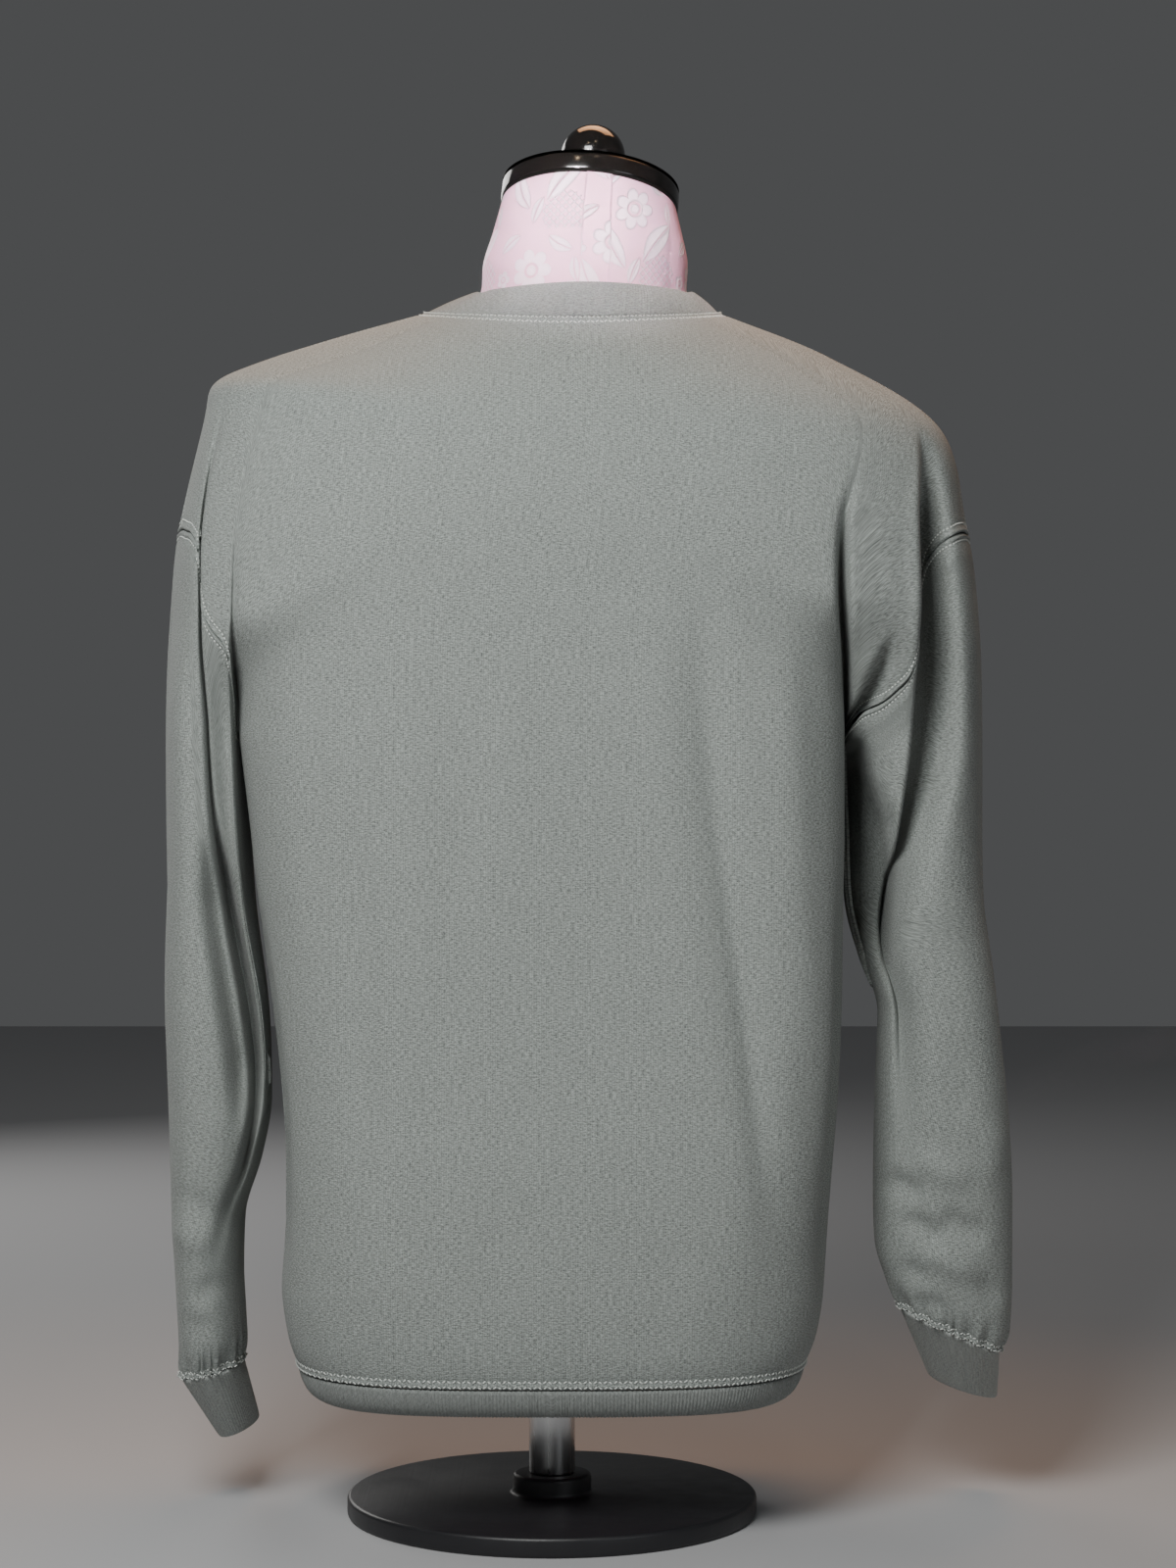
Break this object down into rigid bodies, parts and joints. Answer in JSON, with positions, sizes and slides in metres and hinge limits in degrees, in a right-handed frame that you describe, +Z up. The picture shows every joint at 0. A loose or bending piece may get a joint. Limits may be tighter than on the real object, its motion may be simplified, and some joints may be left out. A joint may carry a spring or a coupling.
{
  "type": "crewneck sweatshirt on a dress form",
  "caption": "Hollow crewneck sweatshirt with dropped shoulders and rib neckband, cuffs and waistband, worn by a limbless dress form with a neck cap and finial on a short pole and round base.",
  "frame": {"origin": "middle of the flat underside of the stand's base", "axes": "+Z up, +Y the way a wearer would face, +X the wearer's right; seen from behind, along +Y, +X is to the right"},
  "size_m": [0.519, 0.275, 0.8508],
  "materials": {
    "fleece": "matt grey-green heather jersey face",
    "rib": "matt grey-green heather rib knit",
    "form_cover": "pale tone-on-tone damask",
    "gloss_black": "glossy black lacquer",
    "steel": "satin steel",
    "base_paint": "satin black powder coat"
  },
  "bodies": {
    "root": {"back_panel": "fleece", "front_panel": "fleece", "sleeve_left": "fleece", "sleeve_right": "fleece", "collar_rib": "rib", "cuff_left": "rib", "cuff_right": "rib", "waistband_rib": "rib", "form_torso": "form_cover", "neck_cap": "gloss_black", "finial": "gloss_black", "stand_pole": "steel", "stand_base": "base_paint"}
  },
  "joints": []
}
